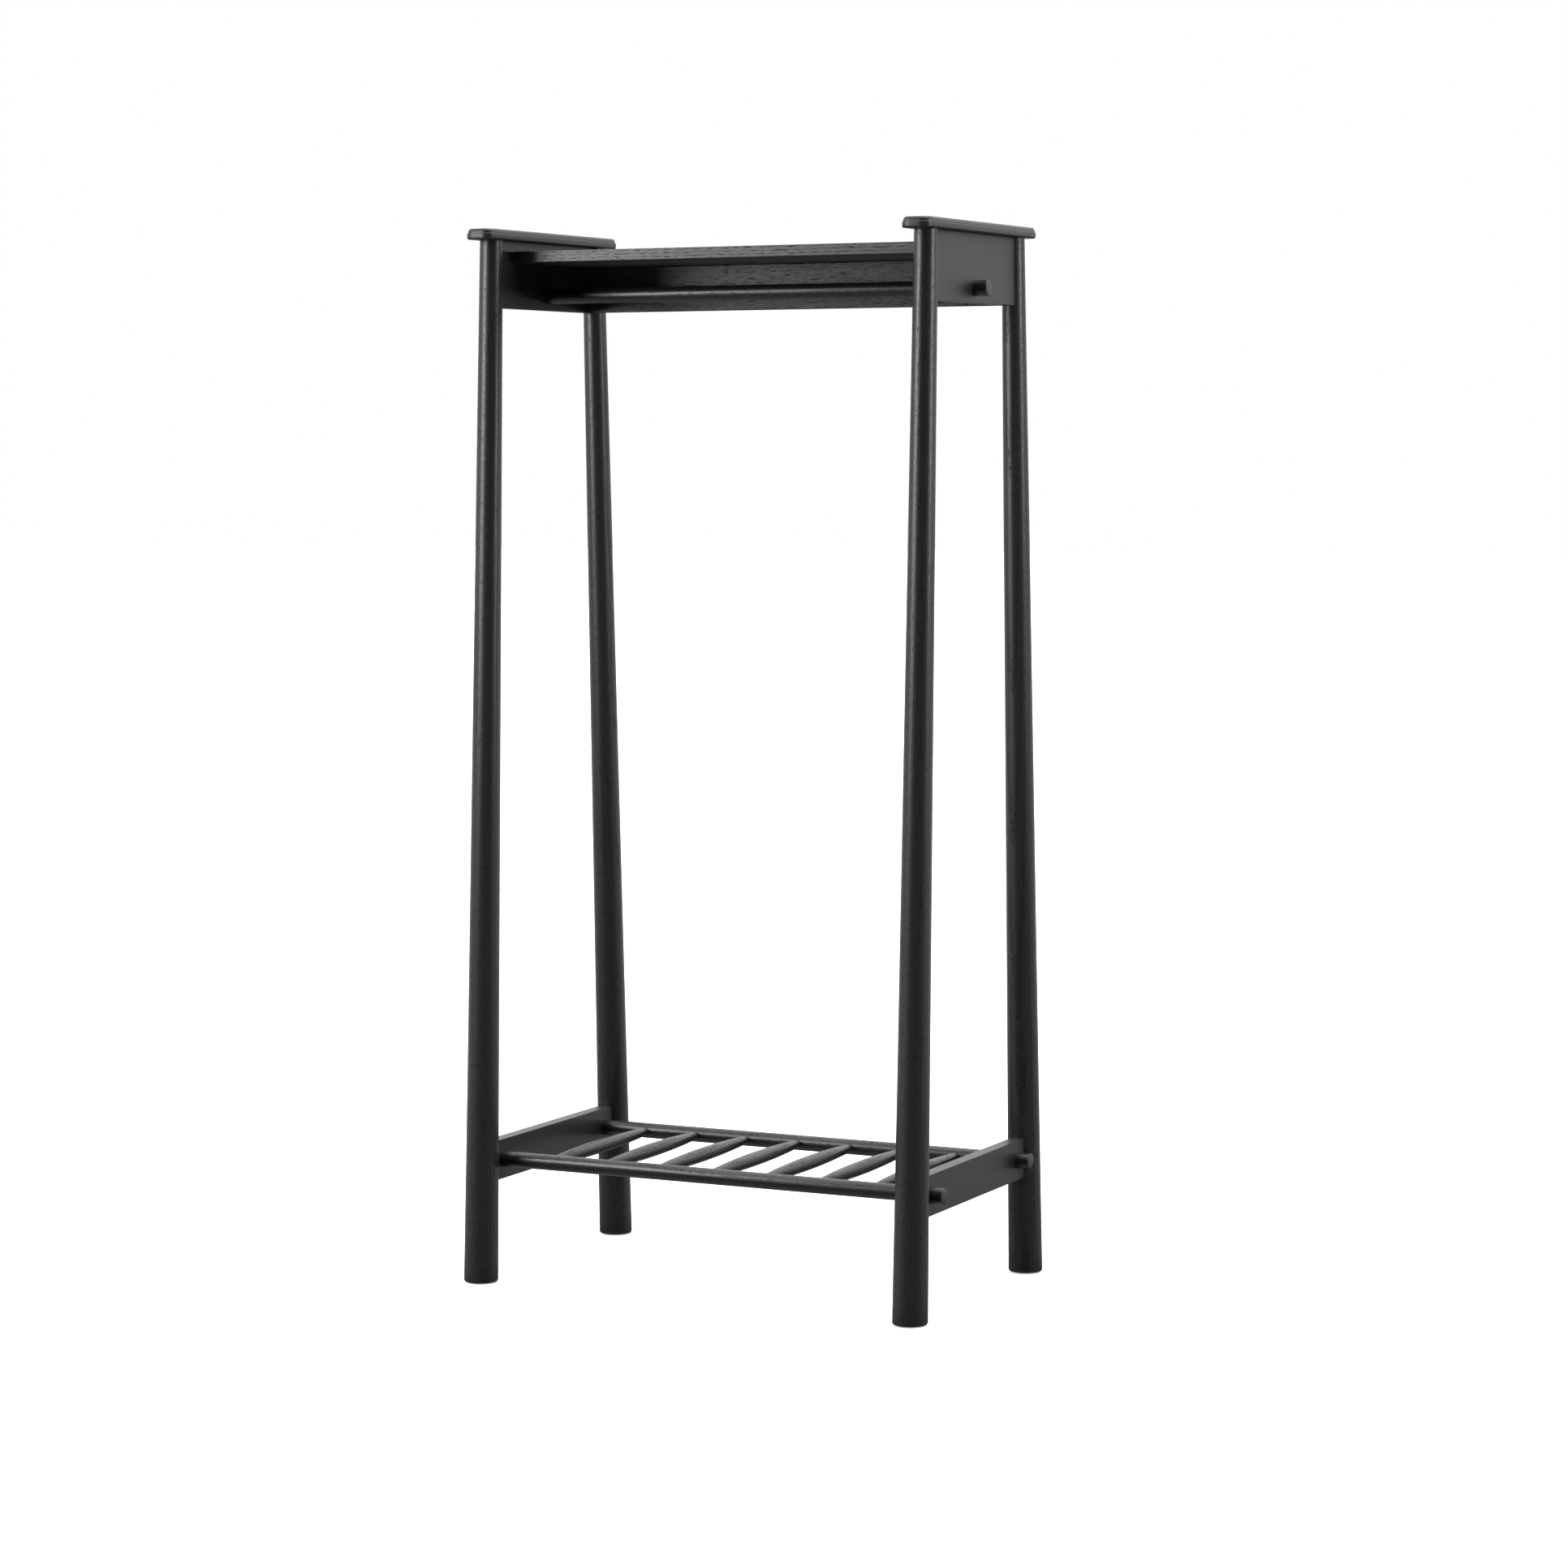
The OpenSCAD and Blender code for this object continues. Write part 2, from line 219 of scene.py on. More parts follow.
def cutAway(mesh, cutters):
    # takes the cutter meshes out of a mesh, exactly
    body = bpy.data.objects.new("work", mesh)
    scene.collection.objects.link(body)
    helpers = []
    for i, cutter in enumerate(cutters):
        helper = bpy.data.objects.new("cutter" + str(i), cutter)
        scene.collection.objects.link(helper)
        helpers.append(helper)
        boolean = body.modifiers.new("cut" + str(i), "BOOLEAN")
        boolean.operation = "DIFFERENCE"
        boolean.solver = "EXACT"
        boolean.object = helper
    result = bpy.data.meshes.new_from_object(body.evaluated_get(bpy.context.evaluated_depsgraph_get()))
    for helper in helpers + [body]:
        bpy.data.objects.remove(helper)
    return result


def writeGrain(mesh, along, across, pith, seed, places, pick=lambda co: 0):
    # the wood's own coordinates: two across the grain, measured from the tree's heart, and one along it;
    # places holds the centre of each stick in the mesh, and pick says which one a point belongs to
    draw = random.Random(seed)
    along, across = Vector(along).normalized(), Vector(across).normalized()
    third = along.cross(across)
    sticks = []
    for centre in places:
        heart = Vector(pith) * draw.uniform(0.8, 1.2)
        sticks.append((Vector(centre), heart, draw.uniform(0.0, 3.0)))
    values = []
    for vertex in mesh.vertices:
        centre, heart, start = sticks[pick(vertex.co)]
        d = vertex.co - centre
        values += [d.dot(across) + heart.x, d.dot(third) + heart.y, d.dot(along) + start]
    attribute = mesh.attributes.new("grain", "FLOAT_VECTOR", "POINT")
    attribute.data.foreach_set("vector", values)


# ---- materials ----

def stainedAsh(name, look):
    # black-stained ash under satin lacquer: long open pores that stay unfilled break up the sheen
    material = bpy.data.materials.new(name)
    material.use_nodes = True
    tree = material.node_tree
    tree.nodes.clear()
    out = addNode(tree, "ShaderNodeOutputMaterial")
    grain = addNode(tree, "ShaderNodeAttribute", {"attribute_name": "grain"}).outputs["Vector"]

    # growth rings, bent a little along the tree
    slow = addNode(tree, "ShaderNodeVectorMath", {"operation": "MULTIPLY", 1: (14, 14, 2.4)}, {0: grain})
    bend = addNode(tree, "ShaderNodeTexNoise", {"Scale": 1.0, "Detail": 2.0}, {"Vector": slow.outputs[0]})
    bendAway = addNode(tree, "ShaderNodeVectorMath", {"operation": "SUBTRACT", 1: (0.5, 0.5, 0.5)},
                       {0: bend.outputs["Color"]})
    bendSize = addNode(tree, "ShaderNodeVectorMath", {"operation": "SCALE", "Scale": look["ringBend"] * mm},
                       {0: bendAway.outputs[0]})
    bent = addNode(tree, "ShaderNodeVectorMath", {"operation": "ADD"}, {0: grain, 1: bendSize.outputs[0]})
    flat = addNode(tree, "ShaderNodeVectorMath", {"operation": "MULTIPLY", 1: (1, 1, 0)}, {0: bent.outputs[0]})
    fromHeart = addNode(tree, "ShaderNodeVectorMath", {"operation": "LENGTH"}, {0: flat.outputs[0]})
    rings = addNode(tree, "ShaderNodeMath", {"operation": "DIVIDE", 1: look["ringWidth"] * mm},
                    {0: fromHeart.outputs["Value"]})
    phase = addNode(tree, "ShaderNodeMath", {"operation": "FRACT"}, {0: rings.outputs[0]})
    early = addNode(tree, "ShaderNodeMapRange",
                    {"interpolation_type": "SMOOTHSTEP", 1: 0.05, 2: 0.55, 3: 1.0, 4: 0.0}, {0: phase.outputs[0]})

    # pores: 0.3 mm wide on ash, drawn wider so that they show
    poreScale = (1000 / look["poreWidth"], 1000 / look["poreWidth"], 1000 / look["poreLength"])
    poreVector = addNode(tree, "ShaderNodeVectorMath", {"operation": "MULTIPLY", 1: poreScale}, {0: grain})
    poreNoise = addNode(tree, "ShaderNodeTexNoise", {"Scale": 1.0, "Detail": 1.0, "Roughness": 0.6},
                        {"Vector": poreVector.outputs[0]})
    poreSpots = addNode(tree, "ShaderNodeMapRange",
                        {1: look["poreFrom"], 2: look["poreFrom"] + 0.09, 3: 0.0, 4: 1.0}, {0: poreNoise.outputs[0]})
    inEarly = addNode(tree, "ShaderNodeMath", {"operation": "MULTIPLY_ADD", 1: 0.78, 2: 0.22}, {0: early.outputs[0]})
    pores = addNode(tree, "ShaderNodeMath", {"operation": "MULTIPLY"},
                    {0: poreSpots.outputs[0], 1: inEarly.outputs[0]}).outputs[0]

    # fine fibre, about 0.5 mm across
    fibreScale = (1000 / look["fibreWidth"], 1000 / look["fibreWidth"], 1000 / look["fibreLength"])
    fibreVector = addNode(tree, "ShaderNodeVectorMath", {"operation": "MULTIPLY", 1: fibreScale}, {0: grain})
    fibre = addNode(tree, "ShaderNodeTexNoise", {"Scale": 1.0, "Detail": 3.0, "Roughness": 0.6},
                    {"Vector": fibreVector.outputs[0]}).outputs[0]
    tone = addNode(tree, "ShaderNodeMath", {"operation": "MULTIPLY_ADD", 1: -look["ringTone"], 2: look["ringTone"]},
                   {0: early.outputs[0]})
    toneMix = addNode(tree, "ShaderNodeMath", {"operation": "ADD", "use_clamp": True},
                      {0: fibre, 1: tone.outputs[0]})

    wood = addNode(tree, "ShaderNodeMix", {"data_type": "RGBA", 6: linear(look["dark"]), 7: linear(look["light"])},
                   {0: toneMix.outputs[0]})
    colour = addNode(tree, "ShaderNodeMix", {"data_type": "RGBA", 7: linear(look["pore"])},
                     {0: pores, 6: wood.outputs[2]})
    sheen = addNode(tree, "ShaderNodeMath", {"operation": "MULTIPLY_ADD", 1: 0.16, 2: look["roughness"] - 0.08},
                    {0: fibre})
    rough = addNode(tree, "ShaderNodeMath", {"operation": "MULTIPLY_ADD", 1: 0.35, "use_clamp": True},
                    {0: pores, 2: sheen.outputs[0]})
    relief = addNode(tree, "ShaderNodeMath", {"operation": "MULTIPLY_ADD", 1: -look["poreDepth"]},
                     {0: pores, 2: fibre})
    bump = addNode(tree, "ShaderNodeBump", {"Strength": 1.0, "Distance": look["relief"] * mm},
                   {"Height": relief.outputs[0]})
    lacquer = addNode(tree, "ShaderNodeMath", {"operation": "MULTIPLY_ADD", 1: look["streak"]},
                      {0: fibre, 2: tone.outputs[0]})
    lacquerTop = addNode(tree, "ShaderNodeMath", {"operation": "ADD", 1: look["gloss"] - 0.5 * look["streak"] - 0.5 * look["ringTone"]},
                         {0: lacquer.outputs[0]})
    open_ = addNode(tree, "ShaderNodeMath", {"operation": "MULTIPLY_ADD", 1: -0.9, 2: 1.0}, {0: pores})
    gloss = addNode(tree, "ShaderNodeMath", {"operation": "MULTIPLY", "use_clamp": True},
                    {0: lacquerTop.outputs[0], 1: open_.outputs[0]})
    shader = addNode(tree, "ShaderNodeBsdfPrincipled", {"IOR": 1.5},
                     {"Base Color": colour.outputs[2], "Roughness": rough.outputs[0], "Normal": bump.outputs[0],
                      "Specular IOR Level": gloss.outputs[0]})
    tree.links.new(shader.outputs[0], out.inputs[0])
    return material


turnedLook = {
    "dark": "#0f0e10", "light": "#1d1c1e", "pore": "#040404",
    "ringWidth": 3.6, "ringBend": 9.0,
    "poreWidth": 0.9, "poreLength": 6.0, "poreFrom": 0.56, "poreDepth": 3.0,
    "fibreWidth": 0.5, "fibreLength": 11.0, "relief": 0.03,
    "roughness": 0.34, "gloss": 0.56, "streak": 0.30, "ringTone": 0.10,
}
boardLook = dict(turnedLook, poreLength=13.0, fibreLength=24.0, roughness=0.38, streak=0.4)
panelLook = dict(turnedLook, poreFrom=0.68, relief=0.012, roughness=0.40, streak=0.10, ringTone=0.03, gloss=0.5, dark="#131213", light="#1b1a1b")

turnedAsh = stainedAsh("stainedAshTurned", turnedLook)      # legs, rods, slats: sheen runs along the round
boardAsh = stainedAsh("stainedAshBoard", boardLook)         # shelf and apron: open lengthwise grain
panelAsh = stainedAsh("stainedAshPanel", panelLook)         # side panels and rails: closer, smoother grain


def plainMaterial(name, colours, scale, roughness, stretch=(1, 1, 1)):
    # hidden beech, stained pins and moulded nylon: a fine mottle in the piece's own place
    material = bpy.data.materials.new(name)
    material.use_nodes = True
    tree = material.node_tree
    tree.nodes.clear()
    out = addNode(tree, "ShaderNodeOutputMaterial")
    place = addNode(tree, "ShaderNodeTexCoord").outputs["Object"]
    mapped = addNode(tree, "ShaderNodeMapping", {"Scale": stretch}, {"Vector": place})
    noise = addNode(tree, "ShaderNodeTexNoise", {"Scale": scale, "Detail": 3.0}, {"Vector": mapped.outputs[0]})
    colour = addNode(tree, "ShaderNodeMix", {"data_type": "RGBA", 6: linear(colours[0]), 7: linear(colours[1])},
                     {0: noise.outputs[0]})
    rough = addNode(tree, "ShaderNodeMath", {"operation": "MULTIPLY_ADD", 1: 0.15, 2: roughness},
                    {0: noise.outputs[0]})
    shader = addNode(tree, "ShaderNodeBsdfPrincipled", {"IOR": 1.5},
                     {"Base Color": colour.outputs[2], "Roughness": rough.outputs[0]})
    tree.links.new(shader.outputs[0], out.inputs[0])
    return material


beechDowel = plainMaterial("planedBeech", ("#b98f5c", "#d6b17e"), 900.0, 0.55, (1, 1, 0.2))
stainedPin = plainMaterial("stainedPin", ("#1f1e1f", "#333133"), 700.0, 0.45)
blackNylon = plainMaterial("mouldedNylon", ("#141415", "#1d1d1f"), 2500.0, 0.5)
for nodeName, material in (("cap_dowels", beechDowel), ("panel_dowels", beechDowel), ("rail_dowels", beechDowel),
                           ("apron_dowels", beechDowel), ("shelf_dowels", beechDowel), ("rod_pins", stainedPin),
                           ("rack_pins", stainedPin), ("foot_glides", blackNylon)):
    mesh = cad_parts[nodeName].data
    mesh.materials.clear()
    mesh.materials.append(material)
print("materials done")


# ---- node trees for what is turned ----

def addMath(tree, operation, *values):
    # one Math node on sockets or plain numbers
    settings = {"operation": operation}
    links = {}
    for place, value in enumerate(values):
        if isinstance(value, (int, float)):
            settings[place] = value
        else:
            links[place] = value
    return addNode(tree, "ShaderNodeMath", settings, links).outputs[0]


def startTree(name, floats, whole):
    tree = bpy.data.node_groups.new(name, "GeometryNodeTree")
    for label in floats:
        tree.interface.new_socket(label, in_out="INPUT", socket_type="NodeSocketFloat")
    for label in whole:
        tree.interface.new_socket(label, in_out="INPUT", socket_type="NodeSocketInt")
    tree.interface.new_socket("Material", in_out="INPUT", socket_type="NodeSocketMaterial")
    tree.interface.new_socket("Geometry", in_out="OUTPUT", socket_type="NodeSocketGeometry")
    return tree, addNode(tree, "NodeGroupInput").outputs


def endTree(tree, geometry, given):
    real = addNode(tree, "GeometryNodeRealizeInstances", None, {"Geometry": geometry})
    painted = addNode(tree, "GeometryNodeSetMaterial", None,
                      {"Geometry": real.outputs[0], "Material": given["Material"]})
    addNode(tree, "NodeGroupOutput", None, {"Geometry": painted.outputs[0]})


def meshFromTree(tree, values):
    # runs a tree on an empty object and gives back its plain mesh
    maker = bpy.data.objects.new("maker", bpy.data.meshes.new("maker"))
    scene.collection.objects.link(maker)
    modifier = maker.modifiers.new("shape", "NODES")
    modifier.node_group = tree
    for item in tree.interface.items_tree:
        if item.in_out == "INPUT":
            modifier[item.identifier] = values[item.name]
    mesh = bpy.data.meshes.new_from_object(maker.evaluated_get(bpy.context.evaluated_depsgraph_get()))
    bpy.data.objects.remove(maker)
    faceOut(mesh)
    return mesh


# ---- legs: one turned shape, leaned into place by shearing its level rings ----

def legTree():
    floats = ("Length", "Foot Radius", "Swell Radius", "Swell Height", "Top Radius", "Foot Round", "Blend",
              "Lean", "Top X", "Top Y", "Bottom Z")
    tree, given = startTree("turnedLeg", floats, ("Rings", "Foot Rings", "Sides"))

    # ring heights: close together round the foot's edge, even above it
    index = addNode(tree, "GeometryNodeInputIndex").outputs[0]
    footShare = addMath(tree, "MINIMUM", addMath(tree, "DIVIDE", index, given["Foot Rings"]), 1.0)
    footAngle = addMath(tree, "MULTIPLY", footShare, math.pi / 2)
    depth = addMath(tree, "MULTIPLY", given["Foot Round"],
                    addMath(tree, "SUBTRACT", 1.0, addMath(tree, "COSINE", footAngle)))
    inset = addMath(tree, "MULTIPLY", given["Foot Round"],
                    addMath(tree, "SUBTRACT", 1.0, addMath(tree, "SINE", footAngle)))
    bodyRings = addMath(tree, "SUBTRACT", addMath(tree, "SUBTRACT", given["Rings"], given["Foot Rings"]), 1.0)
    above = addMath(tree, "MAXIMUM", addMath(tree, "SUBTRACT", index, given["Foot Rings"]), 0.0)
    rise = addMath(tree, "MULTIPLY", addMath(tree, "DIVIDE", above, bodyRings),
                   addMath(tree, "SUBTRACT", given["Length"], given["Foot Round"]))
    height = addMath(tree, "ADD", depth, rise)

    # radius: the steep line near the foot and the slow one above meet in a soft change of taper
    flare = addMath(tree, "DIVIDE", addMath(tree, "SUBTRACT", given["Swell Radius"], given["Foot Radius"]),
                    given["Swell Height"])
    lower = addMath(tree, "MULTIPLY_ADD", flare, height, given["Foot Radius"])
    taper = addMath(tree, "DIVIDE", addMath(tree, "SUBTRACT", given["Top Radius"], given["Swell Radius"]),
                    addMath(tree, "SUBTRACT", given["Length"], given["Swell Height"]))
    upper = addMath(tree, "MULTIPLY_ADD", taper,
                    addMath(tree, "SUBTRACT", height, given["Swell Height"]), given["Swell Radius"])
    outer = addMath(tree, "SMOOTH_MAX", lower, upper, given["Blend"])
    radius = addMath(tree, "SUBTRACT", outer, inset)

    line = addNode(tree, "GeometryNodeMeshLine", {"Offset": (0, 0, 0.001)}, {"Count": given["Rings"]})
    point = addNode(tree, "ShaderNodeCombineXYZ", None, {"Z": height})
    placed = addNode(tree, "GeometryNodeSetPosition", None,
                     {"Geometry": line.outputs[0], "Position": point.outputs[0]})
    curve = addNode(tree, "GeometryNodeMeshToCurve", None, {"Mesh": placed.outputs[0]})
    circle = addNode(tree, "GeometryNodeCurvePrimitiveCircle", {"Radius": 1.0}, {"Resolution": given["Sides"]})
    swept = addNode(tree, "GeometryNodeCurveToMesh", {"Fill Caps": True},
                    {"Curve": curve.outputs[0], "Profile Curve": circle.outputs[0], "Scale": radius})

    # lean: each ring stays level and slides along Y with its height
    position = addNode(tree, "GeometryNodeInputPosition").outputs[0]
    parts = addNode(tree, "ShaderNodeSeparateXYZ", None, {0: position})
    fromTop = addMath(tree, "SUBTRACT", parts.outputs["Z"], given["Length"])
    slideY = addMath(tree, "MULTIPLY_ADD", given["Lean"], fromTop, given["Top Y"])
    offset = addNode(tree, "ShaderNodeCombineXYZ", None,
                     {"X": given["Top X"], "Y": slideY, "Z": given["Bottom Z"]})
    leaned = addNode(tree, "GeometryNodeSetPosition", None,
                     {"Geometry": swept.outputs[0], "Offset": offset.outputs[0]})
    endTree(tree, leaned.outputs[0], given)
    return tree


turnedLeg = legTree()
for number, node in enumerate(legNames):
    low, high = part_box(node)
    sideSign = 1 if high.x > 0 else -1
    endSign = 1 if "rear" in node else -1
    mesh = meshFromTree(turnedLeg, {
        "Length": legHigh.z - legLow.z, "Foot Radius": legFootRadius, "Swell Radius": legSwellRadius,
        "Swell Height": legSettings["swellHeight"], "Top Radius": legTopRadius,
        "Foot Round": legSettings["footRound"], "Blend": legSettings["blend"],
        "Lean": legSlope * endSign, "Top X": halfWidth * sideSign, "Top Y": legTop.y * endSign,
        "Bottom Z": legLow.z, "Rings": legSettings["rings"], "Foot Rings": legSettings["footRings"],
        "Sides": legSettings["sides"], "Material": turnedAsh,
    })
    place = Vector((halfWidth * sideSign, legTop.y * endSign, legTop.z))
    writeGrain(mesh, (0, legSlope * endSign, 1), (math.cos(number * 1.3), math.sin(number * 1.3), 0),
               (0.055, 0.030), 11 + number, [place])
    addPiece("turned." + node, mesh, turnedAsh, [node])
print("legs done")


# ---- caps: a rounded board with a lower band, a narrow ledge and a quarter-round above it ----

capSettings = {
    "corner": 18 * mm,
    "band": 10 * mm,        # height of the lower band
    "underRound": 3 * mm,   # round along the band's bottom edge
    "ledge": 1.5 * mm,
    "mouldWide": 4.32 * mm,
    "arris": 1.2 * mm,       # softened upper edge of the band, which catches the light
    "steps": 8,
    "cornerSteps": 16,
}


def capProfile():
    # (height, inset) from the bottom up
    c = capSettings
    low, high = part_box("cap_right")
    thick = high.z - low.z
    mouldHigh = thick - c["band"]
    rows = []
    for k in range(c["steps"] + 1):
        a = math.radians(90 * k / c["steps"])
        rows.append((c["underRound"] * (1 - math.cos(a)), c["underRound"] * (1 - math.sin(a))))
    for k in range(6):
        a = math.radians(90 * k / 5)
        rows.append((c["band"] - c["arris"] * (1 - math.sin(a)), c["arris"] * (1 - math.cos(a))))
    rows.append((c["band"], c["ledge"] - 0.1 * mm))
    for k in range(c["steps"] * 2 + 1):
        b = math.radians(90 * k / (c["steps"] * 2))
        rows.append((c["band"] + mouldHigh * math.sin(b), c["ledge"] + c["mouldWide"] * (1 - math.cos(b))))
    return rows


def roundedRectangle(halfX, halfY, corner, steps):
    points = []
    for quarter, (cx, cy) in enumerate(((1, 1), (-1, 1), (-1, -1), (1, -1))):
        for k in range(steps + 1):
            a = math.radians(90 * quarter + 90 * k / steps)
            points.append((cx * (halfX - corner) + corner * math.cos(a), cy * (halfY - corner) + corner * math.sin(a)))
    return points


for number, node in enumerate(("cap_left", "cap_right")):
    low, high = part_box(node)
    middle = (low + high) / 2
    loops = []
    for height, inset in capProfile():
        outline = roundedRectangle((high.x - low.x) / 2 - inset, (high.y - low.y) / 2 - inset,
                                   capSettings["corner"] - inset, capSettings["cornerSteps"])
        loops.append([Vector((middle.x + x, middle.y + y, low.z + height)) for x, y in outline])
    mesh = meshFromLoops(node, loops)
    writeGrain(mesh, (0, 1, 0), (1, 0, 0), (0.02, 0.07), 31 + number, [middle])
    addPiece("moulded." + node, mesh, panelAsh, [node])
print("caps done")


# ---- side panels and lower rails: boards shaped to the leaning legs, drilled for the rods ----

panelSettings = {"arris": 0.7 * mm, "glue": 0.05 * mm, "rodGap": 0.1 * mm, "pinBore": 5.2 * mm,
                 "slices": (-0.55, -0.2, 0.2, 0.55), "heights": 5}


def copedOutline(low, high, offset):
    # the board between two legs, seen along X: its ends follow the round legs at this distance from their plane
    def edge(z):
        radius = legRadius(z)
        return legY(z) - math.sqrt(radius * radius - offset * offset) - panelSettings["glue"]
    return [(-edge(low), low), (edge(low), low), (edge(high), high), (-edge(high), high)]


def boxMesh(name, low, high):
    x0, y0, z0 = low
    x1, y1, z1 = high
    loops = [[Vector((x, y, z)) for x, y in rectangle(x0, y0, x1, y1)] for z in (z0, z1)]
    return meshFromLoops(name, loops)


def roundCutter(name, centre, axis, radius, length):
    across = Vector((0, 0, 1)) if abs(axis.z) < 0.5 else Vector((1, 0, 0))
    third = axis.cross(across)
    place = lambda x, y, along: centre + across * x + third * y + axis * along
    return turnedMesh(name, [(radius, -length / 2), (radius, length / 2)], 64, place)


def copedBoard(node, material, rods, cutBoxes, seed):
    low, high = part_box(node)
    middle = (low + high) / 2
    half = (high.x - low.x) / 2
    cuts = [boxMesh("slot", a, b) for a, b in cutBoxes]
    for rod, pinned in rods:
        rodLow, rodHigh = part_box(rod)
        centre = (rodLow + rodHigh) / 2
        centre.x = middle.x
        radius = (rodHigh.z - rodLow.z) / 2
        cuts.append(roundCutter("rodHole", centre, Vector((1, 0, 0)), radius + panelSettings["rodGap"], 0.1))
        pinPlace = Vector((middle.x, centre.y, low.z))
        reach = 2 * (centre.z - low.z)
        cuts.append(roundCutter("pinHole", pinPlace, Vector((0, 0, 1)), panelSettings["pinBore"] / 2, reach))
    mesh = boardMesh(node, lambda w: copedOutline(low.z, high.z, w), -half, half, panelSettings["arris"],
                     lambda u, v, w: Vector((middle.x + w, u, v)),
                     inner=[half * share for share in panelSettings["slices"]])
    mesh = cutAway(mesh, cuts)
    writeGrain(mesh, (0, 1, 0), (0, 0, 1), (0.09, 0.035), seed, [middle])
    addPiece("board." + node, mesh, material, [node])


shelfLow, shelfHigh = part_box("shelf")
apronLow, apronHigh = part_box("rear_apron")
shoulder = 1.5 * mm       # the shelf's tongues lie this far under its top
tongueStop = 12 * mm      # and stop this far short of its rear edge
grooveGap = 0.1 * mm
for number, side in enumerate(("left", "right")):
    low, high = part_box("side_panel_" + side)
    inward = 1 if side == "left" else -1
    innerX = high.x if side == "left" else low.x
    depthX = (shelfLow.x if side == "left" else shelfHigh.x) - 0.5 * mm * inward
    xs = sorted((depthX, innerX + 1 * mm * inward))
    groove = [((xs[0], low.y - 1 * mm, shelfLow.z - grooveGap),
               (xs[1], shelfHigh.y - tongueStop + 0.5 * mm, shelfHigh.z - shoulder + grooveGap))]
    copedBoard("side_panel_" + side, panelAsh, [("hanging_rod", True)], groove, 41 + number)
    copedBoard("lower_rail_" + side, panelAsh, [("rack_rod_front", True), ("rack_rod_rear", True)],
               [], 45 + number)
print("panels and rails done")


# ---- shelf and apron ----

boardSettings = {"arris": 0.9 * mm}


def plainBoard(node, seed, cuts):
    low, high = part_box(node)
    middle = (low + high) / 2
    mesh = boardMesh(node, lambda w: rectangle(low.x, low.y, high.x, high.y), low.z, high.z,
                     boardSettings["arris"], lambda u, v, w: Vector((u, v, w)))
    if cuts:
        mesh = cutAway(mesh, cuts)
    writeGrain(mesh, (1, 0, 0), (0, 1, 0), (0.03, 0.11), seed, [middle])
    addPiece("board." + node, mesh, boardAsh, [node])


tongueCuts = []
for sign in (-1, 1):
    xs = sorted((sign * apronHigh.x, sign * (shelfHigh.x + 5 * mm)))
    tongueCuts.append(boxMesh("overTongue", (xs[0], shelfLow.y - 5 * mm, shelfHigh.z - shoulder),
                              (xs[1], shelfHigh.y + 5 * mm, shelfHigh.z + 5 * mm)))
    tongueCuts.append(boxMesh("behindTongue", (xs[0], shelfHigh.y - tongueStop, shelfLow.z - 5 * mm),
                              (xs[1], shelfHigh.y + 5 * mm, shelfHigh.z + 6 * mm)))
plainBoard("shelf", 51, tongueCuts)
plainBoard("rear_apron", 52, [])
print("shelf and apron done")


# ---- rods ----

rodSettings = {"endRound": 1.2 * mm, "sides": 72, "steps": 5}


def rodPiece(node, seed):
    low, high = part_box(node)
    middle = (low + high) / 2
    radius = (high.z - low.z) / 2
    r = rodSettings["endRound"]
    profile = []
    for k in range(rodSettings["steps"] + 1):
        a = math.radians(90 * k / rodSettings["steps"])
        profile.append((radius - r * (1 - math.sin(a)), low.x + r * (1 - math.cos(a))))
    profile += [(ring, -along) for ring, along in reversed(profile)]
    mesh = turnedMesh(node, profile, rodSettings["sides"],
                      lambda x, y, along: Vector((along, middle.y + x, middle.z + y)))
    writeGrain(mesh, (1, 0, 0), (0, 0, 1), (0.05, 0.035), seed, [middle])
    addPiece("turned." + node, mesh, turnedAsh, [node])


for number, node in enumerate(("hanging_rod", "rack_rod_front", "rack_rod_rear")):
    rodPiece(node, 61 + number)
print("rods done")


# ---- slats: one cigar shape repeated between the two long rods ----

slatNames = ["slat_" + str(k + 1) for k in range(7)]
slatLow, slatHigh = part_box("slat_1")
slatEndRadius = 6.5 * mm
slatSettings = {"sides": 40, "rings": 33, "intoRod": 2.2 * mm}


